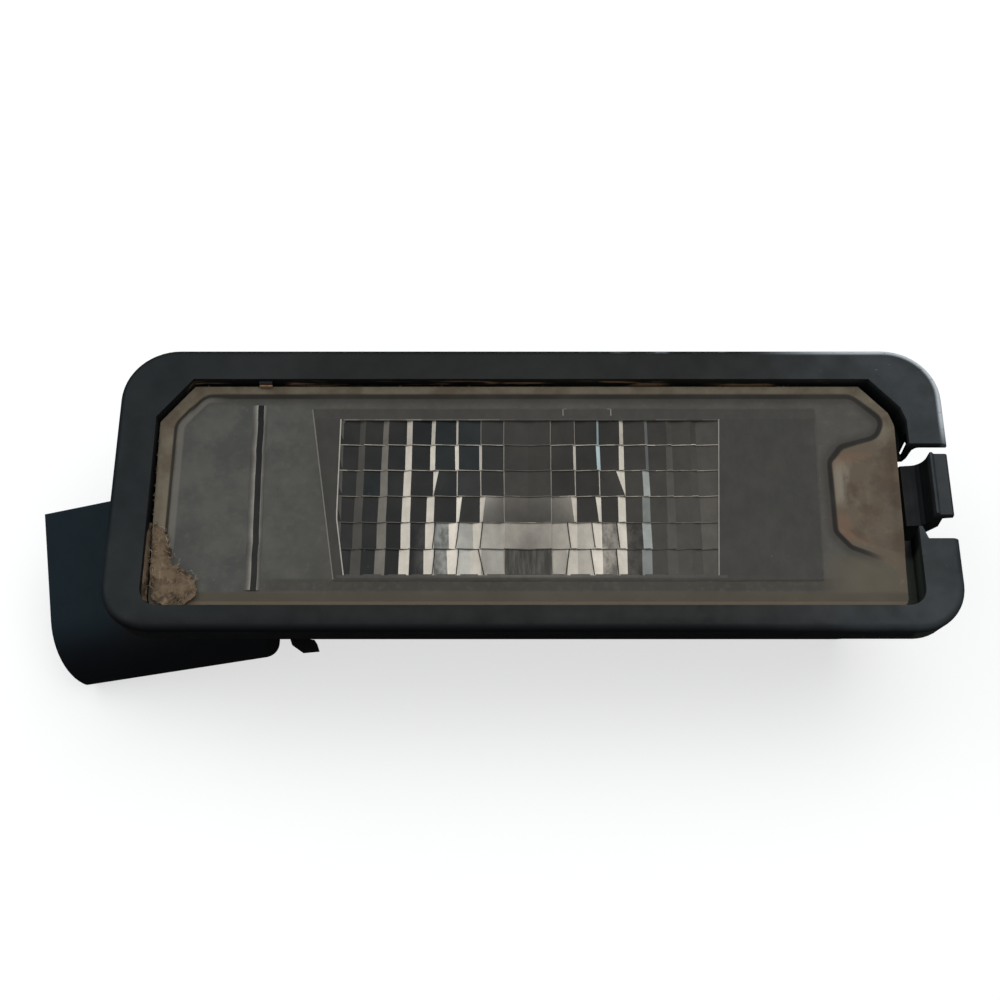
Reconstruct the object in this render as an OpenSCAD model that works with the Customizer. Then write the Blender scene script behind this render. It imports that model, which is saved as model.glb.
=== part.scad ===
// Number plate lamp with a snap-in bezel, a prism lens and a festoon bulb.
// The lens faces up (+Z), the connector points left (-X) and the latch is at the right (+X).
// The origin is the middle of the panel cut-out, in the plane where the bezel meets the panel.

/* [Bezel] */
// Length of the bezel's front along X
bezel_w = 76.5; // [74:0.5:82]
// Height of the bezel's front along Y
bezel_h = 28.2; // [27.6:0.2:31]
// Thickness of the bezel in front of the panel
bezel_t = 3.6; // [3.4:0.1:4.2]
// Radius of the bezel's two upper corners
bezel_r = 5.2; // [3.6:0.2:6]
// Radius of the bezel's two lower corners
bezel_low_r = 4.4; // [3.6:0.2:6]
// How far the bezel's side leans in towards the panel
bezel_draft = 0.45; // [0:0.05:0.6]
// Radius along the bezel's front edge
front_edge_r = 0.7; // [0.4:0.1:1.2]
// Width of the bezel beside the window, left and right
side_bar = 3.55; // [3.3:0.05:4]
// Width of the bezel above the window
top_bar = 3.25; // [3.1:0.05:3.5]
// Width of the bezel below the window
bottom_bar = 2.3; // [2.1:0.05:2.6]

/* [Lens] */
// Depth of the lens's front behind the bezel's front
lens_drop = 1.05; // [0.9:0.05:1.4]
// Thickness of the lens plate
lens_t = 1.6; // [1.4:0.1:1.8]
// Squashed height of the rubber seal under the lens
seal_t = 0.75; // [0.6:0.05:0.9]
// Width of the rubber seal
seal_w = 0.9; // [0.6:0.1:1.1]
// Prism columns
prism_columns = 16; // [12:1:18]
// Prism rows
prism_rows = 6; // [5:1:8]
// Width of the prism field
prism_field_w = 35.3; // [34:0.1:36]
// Room between the prism field and the seal above it
field_room_top = 2.35; // [2.1:0.05:3]
// Room between the prism field and the seal below it
field_room_bottom = 1.8; // [1.6:0.05:2.4]
// Width of the groove between two prisms
prism_groove = 0.2; // [0.18:0.02:0.3]

/* [Housing] */
// Room between the reflector and the housing's back wall
back_room = 0.3; // [0.3:0.1:1.7]
// Wall thickness of the housing
wall_t = 1.4; // [1.2:0.1:1.6]
// How far the collar inside the panel cut-out reaches in
collar_depth = 2.2; // [1.5:0.1:2.6]

/* [Connector] */
// Slant of the connector behind the bezel, in degrees
shroud_slant = 23.5; // [20:0.5:25]
// Length of the connector past the bezel's left edge, along its own axis
shroud_reach = 10.2; // [9:0.1:12]
// Wall thickness of the connector
shroud_wall = 1.5; // [1.2:0.1:1.7]
// Depth of the socket
socket_depth = 11.5; // [11:0.1:12]
// Distance between the two blades
blade_pitch = 5; // [4.8:0.1:5.2]
// Width of a blade
blade_w = 2.8; // [2.3:0.1:3]
// Thickness of the contact sheet
sheet_t = 0.8; // [0.6:0.1:0.8]

/* [Latch] */
// Width of the latch
latch_w = 6.1; // [5:0.1:6.4]
// Gap above the latch
latch_gap_top = 1.05; // [0.8:0.05:1.2]
// Gap below the latch
latch_gap_bottom = 2.35; // [1.6:0.05:2.5]

/* [Bulb] */
// Length of the festoon bulb
bulb_len = 36; // [34:1:36]
// Diameter of the bulb's glass
bulb_d = 10.5; // [9:0.5:10.5]
// Diameter of the bulb's caps
cap_d = 7.4; // [6.5:0.1:8]
// Room between the bulb's glass and the prisms of the lens
bulb_room = 1.65; // [1.55:0.05:2]

/* [Hidden] */
$fn = 64;
past = 0.5;
half_w = bezel_w / 2;
half_h = bezel_h / 2;

// Window and lens levels
win_l = -half_w + side_bar;
win_r = half_w - side_bar;
win_t = half_h - top_bar;
win_b = -half_h + bottom_bar;
lens_front = bezel_t - lens_drop;
lens_back = lens_front - lens_t;
ledge = lens_back - seal_t;
lens_side_gap = 0.15;
lens_right_gap = 0.9;
lens_edge_gap = 0.2;
lens_taper = 0.35;
window_cut = [3.15, 3.95];
window_r = 1.6;
lens_cut = window_cut - [lens_side_gap, lens_edge_gap];
lens_r = 1;
pad_t = 0.3;
pad_low = 0.25;
pad_high = 2.65;
rib_x = 7.5;
rib_t = 0.8;
rib_h = 0.9;
rib_room = 0.7;

// Seal line, measured on the part
seal_t_y = win_t - 0.55;
seal_b_y = win_b + 2.05;
seal_l_x = win_l + 1.6;
seal_r_x = win_r - 1.7;

// Latch
latch_y = latch_w / 2;
slot_t = latch_y + latch_gap_top;
slot_b = -latch_y - latch_gap_bottom;
latch_reach = 9.7;
pocket_x = half_w - latch_reach;
pocket_corner = [1.25, 1.1];
skin_t = 0.9;
relief_z = -collar_depth - 0.8;
relief_w = 1.6;
web_w = 0.6;
ledge_reach = 1.2;
seal_above = seal_t_y - slot_t;
seal_below = slot_b - seal_b_y;
seal_turn_r = min(0.85, seal_below / 4);
lip_x = half_w - 0.2;
leg_x = half_w - 4.25;
leg_t = 1.5;
bend_h = 4.1;
nose_in = 2.5;
nose_w = 0.9;
nose_z = 2.1;
valley_r = 1.8;

// Bulb, with the reflector behind it
function prism_height(r) = 0.75 + 0.06 * (prism_rows - 1 - r);
bulb_z = lens_back - prism_height(0) - bulb_room - bulb_d / 2;
trough_room = 1.05;
trough_t = 0.6;
trough_foot = 3;
trough_rim = 1.5;
trough_r = bulb_d / 2 + trough_room;
trough_out = trough_r + trough_t;

// Housing
chamber_z = bulb_z - trough_out - back_room;
floor_z = chamber_z - wall_t;
body_l = -half_w + 3.65;
body_r = half_w - 4.25;
body_t = half_h - 2.4;
body_b = -half_h + 2.5;
body_lean_l = 5.4;
body_lean_r = 3.5;
body_edge_r = 2.2;
collar_out = [0.55, 0.75, 1.15];
collar_r = 3;
slope_z = -4;
floor_b = -trough_out + 0.35;
body_back_b = floor_b - wall_t;
body_back_t = body_t - 0.04 * bezel_h;
// Room for the sheet of the panel between the bezel and the connector
panel_room = 2.05;

// Connector section: the slanted front, the round lower front corner and the rear corner
shroud_bottom = -half_h + 0.95;
shroud_h = 14.45;
shroud_top = shroud_bottom + shroud_h;
shroud_front = -2.1;
shroud_rear = -12.5;
shroud_fall = 15.5;
shroud_round = 6;
shroud_rear_r = 1.6;
shroud_root = -10.5;
shroud_in = 14.7;
shroud_corner = 1.8;
blade_up = 7.3;
blade_mid_y = shroud_bottom + blade_up;
blade_mid_w = -8.4;
blade_tip_gap = 5;
blade_hold = 6;
blade_root = shroud_reach - socket_depth - blade_hold;
ribbon_in = 8.65;
ribbon_x = -half_w + ribbon_in;
ribbon_h = 3;
ribbon_z = bulb_z - 0.4;

// Claw under the lower side and nib over the lens
claw_in = 15.4;
claw_x = -half_w + claw_in;
claw_z = -7;
claw_w = 2;
claw_l = 3.1;
claw_out = 0.9;
claw_root = 1.6;
nib_in = 12.8;
nib_x = -half_w + nib_in;
nib_w = 1.2;
nib_h = 0.7;
nib_reach = 0.3;

// Ends of the bulb, and the contacts
half_bulb = bulb_len / 2;
cone_len = 3;
tip_r = 1.1;
plate_seat = half_bulb - 1.5;
glass_wall = 0.6;
glass_end = half_bulb - 5.2;
cap_len = 8.6;
cap_mouth = half_bulb - cap_len;
cap_wall = 0.3;
lead_r = 0.2;
filament_half = 5.5;
plate_half = 4;
plate_up = 4;
guide = [0.8, 1, 2.6];
guide_y = 3;
dome_len = 1.8;
neck_len = 3.2;

// Moves every edge of an anticlockwise outline inward by d
function turn(v) = [-v.y, v.x] / norm(v);
function inset(pts, d) = [
    for (i = [0 : len(pts) - 1])
        let (
            p = pts[i],
            a = turn(p - pts[(i + len(pts) - 1) % len(pts)]),
            b = turn(pts[(i + 1) % len(pts)] - p)
        )
        p + (a + b) * d / (1 + a * b)
];

// Replaces every corner of an outline by an arc of radius r, in steps
function arc_at(a, p, b, r, steps) =
    let (
        u = (a - p) / norm(a - p),
        v = (b - p) / norm(b - p),
        half = acos(u * v) / 2,
        centre = p + (u + v) / norm(u + v) * r / sin(half),
        from = p + u * r / tan(half) - centre,
        to = p + v * r / tan(half) - centre
    )
    [for (i = [0 : steps])
        let (w = from * (steps - i) + to * i)
        centre + w * r / norm(w)
    ];
function rounded(pts, r, steps) = [
    for (i = [0 : len(pts) - 1])
        each arc_at(pts[(i + len(pts) - 1) % len(pts)], pts[i], pts[(i + 1) % len(pts)], r, steps)
];

// Line of the seal, with the step round the latch
seal_corners = [
    [seal_l_x, seal_b_y],
    [seal_r_x, seal_b_y],
    [seal_r_x, slot_b - 0.41 * seal_below],
    [pocket_x + 0.3, slot_b - 0.05],
    [pocket_x - 1.15, slot_b + 1.7],
    [pocket_x - 1.15, slot_t - 0.3],
    [pocket_x + 0.35, slot_t + 0.18 * seal_above],
    [seal_r_x - 0.7, slot_t + 0.34 * seal_above],
    [seal_r_x, slot_t + 0.6 * seal_above],
    [seal_r_x - 2.6, seal_t_y],
    [seal_l_x + 2.35, seal_t_y],
    [seal_l_x, seal_t_y - 2.85]
];
seal_line = rounded(seal_corners, seal_turn_r, 3);

// Extrudes a Y-Z outline along X
module along_x(x0, x1) {
    translate([x0, 0, 0])
        rotate([90, 0, 90])
            linear_extrude(x1 - x0)
                children();
}

// Extrudes an X-Z outline along Y
module along_y(y0, y1) {
    translate([0, y1, 0])
        rotate([90, 0, 0])
            linear_extrude(y1 - y0)
                children();
}

// Extrudes an X-Y outline along Z
module along_z(z0, z1) {
    translate([0, 0, z0])
        linear_extrude(z1 - z0)
            children();
}

// Draws the right-hand piece, or its mirror image at the left
module at_end(s) {
    mirror([s > 0 ? 0 : 1, 0, 0])
        children();
}

// Turns a profile of radius and length round the bulb's axis
module about_bulb() {
    translate([0, 0, bulb_z])
        rotate([0, 90, 0])
            rotate_extrude()
                children();
}

module rounded_rect(l, r, b, t, rad) {
    translate([l + rad, b])
        square([r - l - 2 * rad, t - b]);
    translate([l, b + rad])
        square([r - l, t - b - 2 * rad]);
    for (x = [l + rad, r - rad])
        for (y = [b + rad, t - rad])
            translate([x, y])
                circle(rad);
}

// Outline of the window or the lens: two cut corners above, two round corners below
module window_shape(l, r, b, t, cut, rad, taper = 0) {
    polygon([
        [l + taper + rad, b],
        [r - taper - rad, b],
        [r - taper, b + rad],
        [r, t - cut.y - 0.4],
        [r - 0.45, t - cut.y + 0.95],
        [r - cut.x, t],
        [l + cut.x, t],
        [l, t - cut.y],
        [l + taper, b + rad]
    ]);
    for (x = [l + taper + rad, r - taper - rad])
        translate([x, b + rad])
            circle(rad);
}

// Half of the bezel's section, out to w: a leaning side and a rounded front edge
module half_section(w) {
    r = front_edge_r;
    polygon([[0, 0], [w - bezel_draft, 0], [w, bezel_t - r], [w - r, bezel_t], [0, bezel_t]]);
    translate([w - r, bezel_t - r])
        circle(r);
}

module bezel_corner(r) {
    rotate_extrude()
        half_section(r);
}

module bezel_block() {
    // Each half is [corner radius, direction along Y]
    for (half = [[bezel_r, 1], [bezel_low_r, -1]]) {
        r = half[0];
        s = half[1];
        along_x(-half_w + r, half_w - r)
            mirror([s > 0 ? 0 : 1, 0])
                half_section(half_h);
        along_y(s > 0 ? 0 : -half_h + r, s > 0 ? half_h - r : 0)
            for (m = [0, 1])
                mirror([m, 0])
                    half_section(half_w);
        for (x = [-1, 1])
            translate([x * (half_w - r), s * (half_h - r), 0])
                bezel_corner(r);
    }
}

// Housing behind the panel, with a sloped lower side and sloped ends
module body_block() {
    along_z(-collar_depth, 0)
        rounded_rect(win_l - collar_out[0], win_r + collar_out[0], win_b - collar_out[1],
            win_t + collar_out[2], collar_r);
    intersection() {
        along_z(floor_z, 0)
            rounded_rect(body_l, body_r, body_b, body_t, body_edge_r);
        along_x(body_l - past, body_r + past)
            polygon([
                [body_b, past],
                [body_b, slope_z],
                [body_back_b, floor_z],
                [body_back_t, floor_z],
                [body_t, slope_z],
                [body_t, past]
            ]);
        along_y(body_b - past, body_t + past)
            polygon([
                [body_l, past],
                [body_l, slope_z],
                [body_l + body_lean_l, floor_z],
                [body_r - body_lean_r, floor_z],
                [body_r, floor_z + 6],
                [body_r, past]
            ]);
    }
}

// Inside of the housing, open to the lens
module chamber() {
    intersection() {
        along_z(chamber_z, ledge + past)
            polygon(inset(seal_line, seal_w / 2));
        along_x(-half_w, half_w)
            polygon([
                [body_b + wall_t, ledge + past],
                [body_b + wall_t, slope_z],
                [floor_b, chamber_z],
                [body_back_t - wall_t, chamber_z],
                [body_t - wall_t, slope_z],
                [body_t - wall_t, ledge + past]
            ]);
        along_y(-half_h, half_h)
            polygon([
                [body_l, ledge + past],
                [body_l + wall_t + 0.5, slope_z],
                [body_l + wall_t + body_lean_l, chamber_z],
                [body_r - body_lean_r - wall_t, chamber_z],
                [body_r - wall_t, floor_z + 6],
                [body_r - wall_t, ledge + past]
            ]);
    }
}

// Lengths run along the connector's axis from the bezel's left edge, outward
module shroud_frame() {
    translate([-half_w, 0, 0])
        rotate([0, -shroud_slant, 0])
            mirror([1, 0, 0])
                rotate([90, 0, 90])
                    children();
}

// Cross-section of the connector, d inside its outer surface
module shroud_section(d) {
    top = shroud_top - d;
    bottom = shroud_bottom + d;
    rear = shroud_rear + d;
    front = shroud_front - d / cos(shroud_fall) - d * tan(shroud_fall);
    big = shroud_round - d;
    mid_y = bottom + big;
    mid_w = front - (top - mid_y) * tan(shroud_fall) - big / cos(shroud_fall);
    small = max(shroud_rear_r - d, 0.3);
    intersection() {
        union() {
            translate([mid_y, mid_w])
                circle(big);
            polygon([
                [mid_y - big * sin(shroud_fall), mid_w + big * cos(shroud_fall)],
                [mid_y, mid_w],
                [bottom, mid_w],
                [bottom, rear],
                [top, rear],
                [top, front]
            ]);
        }
        union() {
            translate([bottom + small, rear])
                square([top - bottom - small, front - rear + 1]);
            translate([bottom, rear + small])
                square([top - bottom, front - rear + 1]);
            translate([bottom + small, rear + small])
                circle(small);
        }
    }
}

module shroud_block() {
    intersection() {
        shroud_frame()
            translate([0, 0, shroud_root - 3])
                linear_extrude(shroud_reach - shroud_root + 3)
                    shroud_section(0);
        along_z(floor_z - 2, -panel_room)
            rounded_rect(-half_w - shroud_reach - shroud_corner, -half_w + shroud_in,
                shroud_bottom - 0.01, shroud_top + 2 * shroud_corner, shroud_corner);
    }
}

module socket() {
    shroud_frame()
        translate([0, 0, shroud_reach - socket_depth])
            linear_extrude(socket_depth + past)
                shroud_section(shroud_wall);
}

// Opening round the latch, straight through the bezel and the housing
module latch_pocket() {
    skin_z = bezel_t - skin_t;
    along_z(floor_z - past, bezel_t + past)
        polygon([
            [half_w + past, slot_t],
            [pocket_x + pocket_corner.x, slot_t],
            [pocket_x, slot_t - pocket_corner.y],
            [pocket_x, slot_b + ledge_reach + 0.9],
            [pocket_x + pocket_corner.x, slot_b + ledge_reach],
            [win_r + 0.3, slot_b + ledge_reach],
            [win_r + 0.75, slot_b],
            [half_w + past, slot_b]
        ]);
    // Room above the upper slot, which leaves a skin in front and curves down to the ledge
    along_y(slot_t - past, slot_t + relief_w)
        polygon([
            [win_r - 1.1, relief_z],
            [win_r - 1.1, ledge - 0.45],
            [win_r + 0.1, ledge - 0.45],
            [win_r + 0.35, ledge + 0.3],
            [win_r + 0.5, skin_z - 0.5],
            [win_r + 0.75, skin_z - 0.1],
            [win_r + 1.05, skin_z],
            [half_w + past, skin_z],
            [half_w + past, relief_z]
        ]);
    // Small hole beside the window's wall, with a web between it and the slot
    along_z(relief_z, skin_z)
        polygon([
            [win_r - 0.1, slot_t + web_w],
            [win_r + 0.95, slot_t + web_w],
            [win_r + 0.95, slot_t + web_w + 0.6],
            [win_r + 0.45, slot_t + web_w + 1.55],
            [win_r - 0.1, slot_t + web_w + 0.9]
        ]);
}

// Sprung arm: the finger lip in front, the nose that holds the panel and a bend at the bottom
module latch() {
    bend_z = floor_z + bend_h;
    bend_r = (leg_x - pocket_x) / 2 + leg_t / 4;
    mid_x = leg_x - bend_r;
    along_y(-latch_y, latch_y) {
        // Lip, ridge and valley in front, the nose and the leg behind
        polygon([
            [lip_x - 1.7, bezel_t + 0.3],
            [lip_x - 1.5, bezel_t + 0.3],
            [lip_x - 1.25, bezel_t - 0.05],
            [lip_x - 0.2, bezel_t - 0.05],
            [lip_x, bezel_t - 0.25],
            [lip_x, bezel_t - 0.8],
            [lip_x - 0.9, bezel_t - 0.95],
            [lip_x - 0.9, 0.9],
            [lip_x - nose_in, -nose_z + 0.4],
            [lip_x - nose_in, -nose_z],
            [lip_x - nose_in + nose_w, -nose_z],
            [lip_x - nose_in + nose_w + 0.1, -nose_z - 0.8],
            [leg_x, floor_z / 2],
            [leg_x, bend_z],
            [leg_x - leg_t, bend_z],
            [leg_x - leg_t, -6],
            [leg_x - 0.9, -nose_z - 0.1],
            [leg_x, lens_back - 0.5],
            [leg_x + 0.3, lens_back],
            for (a = [-90 : 20 : -10])
                [lip_x - 2.9 + valley_r * cos(a) * 0.65, lens_back + 0.1 + valley_r * (1 + sin(a))]
        ]);
        difference() {
            translate([mid_x, bend_z])
                circle(bend_r);
            translate([mid_x, bend_z])
                circle(bend_r - leg_t);
            translate([mid_x - 2 * bend_r, bend_z])
                square([4 * bend_r, 2 * bend_r]);
        }
        translate([pocket_x - 0.3, bend_z])
            square([mid_x - bend_r + leg_t - pocket_x + 0.3, 3]);
    }
}

// Small claw under the lower side
module claw() {
    translate([claw_x, body_b, claw_z])
        linear_extrude(claw_w)
            polygon([
                [0, claw_root],
                [0.5, -0.1],
                [1.6, -claw_out],
                [claw_l, -claw_out + 0.15],
                [claw_l - 0.3, -0.3],
                [claw_l - 1, -0.2],
                [claw_l - 1.1, claw_root]
            ]);
}

// Outline of a blade from the side, between two places along the connector's axis
module blade_outline(from, to) {
    translate([-half_w, 0])
        rotate(shroud_slant)
            mirror([1, 0])
                translate([from, blade_mid_w - blade_w / 2])
                    square([to - from, blade_w]);
}

blade_ys = [blade_mid_y + blade_pitch / 2, blade_mid_y - blade_pitch / 2];

// Ribs on the floor that hold a contact plate upright
module plate_guides() {
    for (s = [-1, 1])
        for (x = [plate_seat - guide.x, plate_seat + sheet_t])
            for (y = [-guide_y, guide_y])
                at_end(s)
                    translate([x, y - guide.y / 2, chamber_z - 0.1])
                        cube(guide);
}

module housing() {
    color([0.06, 0.065, 0.07])
        union() {
            difference() {
                union() {
                    bezel_block();
                    body_block();
                    shroud_block();
                    claw();
                }
                along_z(ledge, bezel_t + past)
                    window_shape(win_l, win_r, win_b, win_t, window_cut, window_r);
                chamber();
                latch_pocket();
                socket();
                for (y = blade_ys)
                    along_y(y - sheet_t / 2, y + sheet_t / 2)
                        blade_outline(blade_root, shroud_reach - socket_depth + past);
            }
            latch();
            plate_guides();
            // Snap nib that holds the lens down
            translate([nib_x, win_t - nib_reach, lens_front])
                cube([nib_w, nib_reach + past, nib_h]);
        }
}

// Prism field: each prism is a block tilted by its column and row, and a groove runs between the blocks
field_b = seal_b_y + field_room_bottom;
field_t = seal_t_y - field_room_top;
pitch_x = prism_field_w / prism_columns;
pitch_y = (field_t - field_b) / prism_rows;
function prism_turn(c) = 12 * (c + 0.5 - prism_columns / 2) / prism_columns;
function prism_lean(r) = -3 - r;

module prism(c, r) {
    size_x = pitch_x - prism_groove;
    size_y = pitch_y - prism_groove;
    translate([
        (c + 0.5) * pitch_x - prism_field_w / 2,
        (r + 0.5) * pitch_y + field_b,
        lens_back - prism_height(r)
    ])
        rotate([prism_lean(r), prism_turn(c), 0])
            translate([-size_x / 2, -size_y / 2, 0])
                cube([size_x, size_y, prism_height(r) + lens_t / 2]);
}

module prism_field() {
    for (r = [0 : prism_rows - 1])
        for (c = [0 : prism_columns - 1])
            prism(c, r);
}

module lens() {
    color([0.75, 0.75, 0.72, 0.5])
        union() {
            along_z(lens_back, lens_front)
                window_shape(win_l + lens_side_gap, win_r - lens_right_gap, win_b + lens_edge_gap,
                    win_t - lens_edge_gap, lens_cut, lens_r, lens_taper);
            // Raised pad round the prisms, narrower at its lower left
            along_z(lens_back - pad_t, lens_back + past)
                polygon([
                    [-prism_field_w / 2 - pad_low, field_b - 0.45],
                    [pocket_x - 2.3, field_b - 0.45],
                    [pocket_x - 1.8, field_t + 1.05],
                    [-prism_field_w / 2 - pad_high, field_t + 1.05]
                ]);
            // Rib across the left end
            translate([seal_l_x + rib_x, seal_b_y + rib_room, lens_back - rib_h])
                cube([rib_t, seal_t_y - seal_b_y - 2 * rib_room, rib_h + past]);
            prism_field();
        }
}

module lens_seal() {
    color([0.08, 0.08, 0.08])
        along_z(ledge, lens_back)
            difference() {
                polygon(inset(seal_line, -seal_w / 2));
                polygon(inset(seal_line, seal_w / 2));
            }
}

// Trough behind the bulb, with a flat foot on the housing's floor
module reflector() {
    cut = trough_out + past;
    color([0.85, 0.85, 0.83])
        along_x(-plate_seat + 1, plate_seat - 1)
            difference() {
                union() {
                    translate([0, bulb_z])
                        circle(trough_out);
                    translate([-trough_foot, chamber_z])
                        square([2 * trough_foot, trough_foot]);
                }
                translate([0, bulb_z])
                    circle(trough_r);
                translate([-cut, bulb_z + trough_rim])
                    square([2 * cut, cut]);
            }
}

// Outline of the glass, from its axis, with domed ends
module glass_half(d) {
    r = bulb_d / 2 - d;
    neck = cap_d / 2 - cap_wall - 0.4 - d;
    straight = cap_mouth - dome_len - 0.3;
    polygon([
        [0, -glass_end + d],
        [neck, -glass_end + d],
        [neck, -glass_end + neck_len],
        for (a = [0 : 15 : 90]) [neck + (r - neck) * sin(a), -straight - dome_len * cos(a) + d / 2],
        for (a = [90 : -15 : 0]) [neck + (r - neck) * sin(a), straight + dome_len * cos(a) - d / 2],
        [neck, glass_end - neck_len],
        [neck, glass_end - d],
        [0, glass_end - d]
    ]);
}

module bulb_glass() {
    color([0.9, 0.9, 0.9, 0.3])
        about_bulb()
            difference() {
                glass_half(0);
                glass_half(glass_wall);
                for (s = [-1, 1])
                    translate([0, s * glass_end - 1])
                        square([lead_r + 0.02, 2]);
            }
}

module bulb_filament() {
    color([0.3, 0.3, 0.3])
        about_bulb()
            translate([0, -filament_half])
                square([0.3, 2 * filament_half]);
}

module bulb_lead(s) {
    color([0.6, 0.6, 0.6])
        about_bulb()
            translate([0, s > 0 ? filament_half : -half_bulb + 0.9])
                square([lead_r, half_bulb - 0.9 - filament_half]);
}

module bulb_lead_left() {
    bulb_lead(-1);
}

module bulb_lead_right() {
    bulb_lead(1);
}

module bulb_cement(s) {
    color([0.7, 0.65, 0.5])
        at_end(s)
            about_bulb()
                translate([cap_d / 2 - cap_wall - 0.4, cap_mouth + 0.6])
                    square([0.4, glass_end - cap_mouth - 0.6]);
}

module bulb_cement_left() {
    bulb_cement(-1);
}

module bulb_cement_right() {
    bulb_cement(1);
}

// Cap: a tube with a conical end and a hole for the lead
module bulb_cap(s) {
    r = cap_d / 2;
    color([0.75, 0.75, 0.72])
        at_end(s)
            about_bulb()
                polygon([
                    [r, cap_mouth],
                    [r, half_bulb - cone_len],
                    [tip_r, half_bulb - 0.3],
                    [lead_r + 0.3, half_bulb - 0.3],
                    [lead_r + 0.3, half_bulb - 0.3 - 1.2 * cap_wall],
                    [tip_r - 0.15, half_bulb - 0.3 - 1.2 * cap_wall],
                    [r - cap_wall, half_bulb - cone_len - 0.1],
                    [r - cap_wall, cap_mouth]
                ]);
}

module bulb_cap_left() {
    bulb_cap(-1);
}

module bulb_cap_right() {
    bulb_cap(1);
}

// Drop of solder over the lead's end
module bulb_solder(s) {
    color([0.65, 0.65, 0.65])
        at_end(s)
            about_bulb()
                polygon([
                    [0, half_bulb - 0.9],
                    [lead_r + 0.3, half_bulb - 0.6],
                    [lead_r + 0.3, half_bulb - 0.3],
                    [0.8, half_bulb - 0.3],
                    [0.55, half_bulb - 0.08],
                    [0, half_bulb]
                ]);
}

module bulb_solder_left() {
    bulb_solder(-1);
}

module bulb_solder_right() {
    bulb_solder(1);
}

// Stamped strip: a blade in the socket, a ribbon along the chamber and a plate that holds a cap
module contact(s, y) {
    cone_r = tip_r + (cap_d / 2 - tip_r) * (half_bulb - 0.3 - plate_seat) / (cone_len - 0.3);
    plate_x = s > 0 ? plate_seat : -plate_seat - sheet_t;
    color([0.75, 0.7, 0.55])
        union() {
            along_y(y - sheet_t / 2, y + sheet_t / 2) {
                blade_outline(blade_root, shroud_reach - blade_tip_gap);
                translate([ribbon_x, ribbon_z])
                    square([plate_x + sheet_t - ribbon_x, ribbon_h]);
            }
            along_x(plate_x, plate_x + sheet_t)
                difference() {
                    union() {
                        translate([-plate_half, chamber_z])
                            square([2 * plate_half, bulb_z + plate_up - chamber_z]);
                        translate([y - sheet_t / 2, ribbon_z])
                            square([plate_half - y, ribbon_h]);
                    }
                    translate([0, bulb_z])
                        circle(cone_r);
                }
        }
}

module contact_left() {
    contact(-1, blade_ys[0]);
}

module contact_right() {
    contact(1, blade_ys[1]);
}

housing();
lens();
lens_seal();
reflector();
bulb_glass();
bulb_filament();
bulb_lead_left();
bulb_lead_right();
bulb_cement_left();
bulb_cement_right();
bulb_cap_left();
bulb_cap_right();
bulb_solder_left();
bulb_solder_right();
contact_left();
contact_right();
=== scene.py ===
"""Looks of the number plate lamp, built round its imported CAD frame. Lengths are in millimetres."""

import math
import random

import bmesh
import bpy
from mathutils import Matrix, Vector, noise

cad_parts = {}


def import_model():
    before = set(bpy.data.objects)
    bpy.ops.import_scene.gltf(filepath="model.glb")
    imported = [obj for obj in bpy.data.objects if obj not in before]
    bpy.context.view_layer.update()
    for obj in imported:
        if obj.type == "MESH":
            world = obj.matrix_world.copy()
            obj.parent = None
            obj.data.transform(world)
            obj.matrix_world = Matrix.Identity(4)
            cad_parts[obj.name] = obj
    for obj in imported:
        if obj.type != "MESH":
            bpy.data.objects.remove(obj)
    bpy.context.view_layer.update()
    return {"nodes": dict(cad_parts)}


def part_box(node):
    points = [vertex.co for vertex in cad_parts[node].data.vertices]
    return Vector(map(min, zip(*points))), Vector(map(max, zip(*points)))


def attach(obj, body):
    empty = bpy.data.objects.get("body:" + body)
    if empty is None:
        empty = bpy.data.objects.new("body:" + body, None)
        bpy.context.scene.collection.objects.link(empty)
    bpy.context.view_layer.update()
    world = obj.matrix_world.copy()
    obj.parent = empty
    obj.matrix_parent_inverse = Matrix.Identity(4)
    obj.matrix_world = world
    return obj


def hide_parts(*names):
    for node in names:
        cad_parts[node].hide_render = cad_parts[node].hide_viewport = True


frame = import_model()

MM = 0.001
SEED = 7


def box_mm(node):
    """Lowest and highest corner of a CAD node, in millimetres."""
    low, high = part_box(node)
    return low / MM, high / MM


lens_low, lens_high = box_mm("lens")
seal_low, seal_high = box_mm("lens_seal")
house_low, house_high = box_mm("housing")

# Levels and lines of the lens, from the CAD nodes
FRONT = lens_high.z
BACK = seal_high.z
HALF_SEAL = 0.45

# Middle line of the seal at its four sides
SEAL_LEFT = seal_low.x + HALF_SEAL
SEAL_RIGHT = seal_high.x - HALF_SEAL
SEAL_TOP = seal_high.y - HALF_SEAL
SEAL_BOTTOM = seal_low.y + HALF_SEAL

# The bezel, its window's gap round the lens, and the pocket of the latch
BEZEL_HALF = house_high.x
BEZEL_TOP = house_high.y
CORNER_R = 5.2
WALL_GAP = 0.15
POCKET = BEZEL_HALF - 9.7
SLOT_TOP = 4.1
SLOT_BOTTOM = -5.4
SEAL_ABOVE = SEAL_TOP - SLOT_TOP
SEAL_BELOW = SLOT_BOTTOM - SEAL_BOTTOM

# What lies at the back of a clear lens is seen raised and shifted by its refraction
SEEN_BELOW = 0.4
RISE = FRONT - SEEN_BELOW - BACK
RAISED_SCALE = 0.991
RAISED_SHIFT_X = -0.025
RAISED_SHIFT_Y = -0.563

# Prism field, as in the CAD
COLUMNS = 16
ROWS = 6
MIDDLE = COLUMNS // 2
FIELD_HALF_W = 17.65
FIELD_HALF_H = 7.95
FIELD_Z = BACK - 0.1
FIELD_LEAN = 0.1
FIELD_SLOPE = 0.16
PITCH_X = 2 * FIELD_HALF_W / COLUMNS
PITCH_Y = 2 * FIELD_HALF_H / ROWS

# How far its columns are seen left of their even places, and the kinks of its two borders
COLUMN_DRIFT = 0.18
KINK = 0.85
KINK_FROM = 0.64

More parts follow.
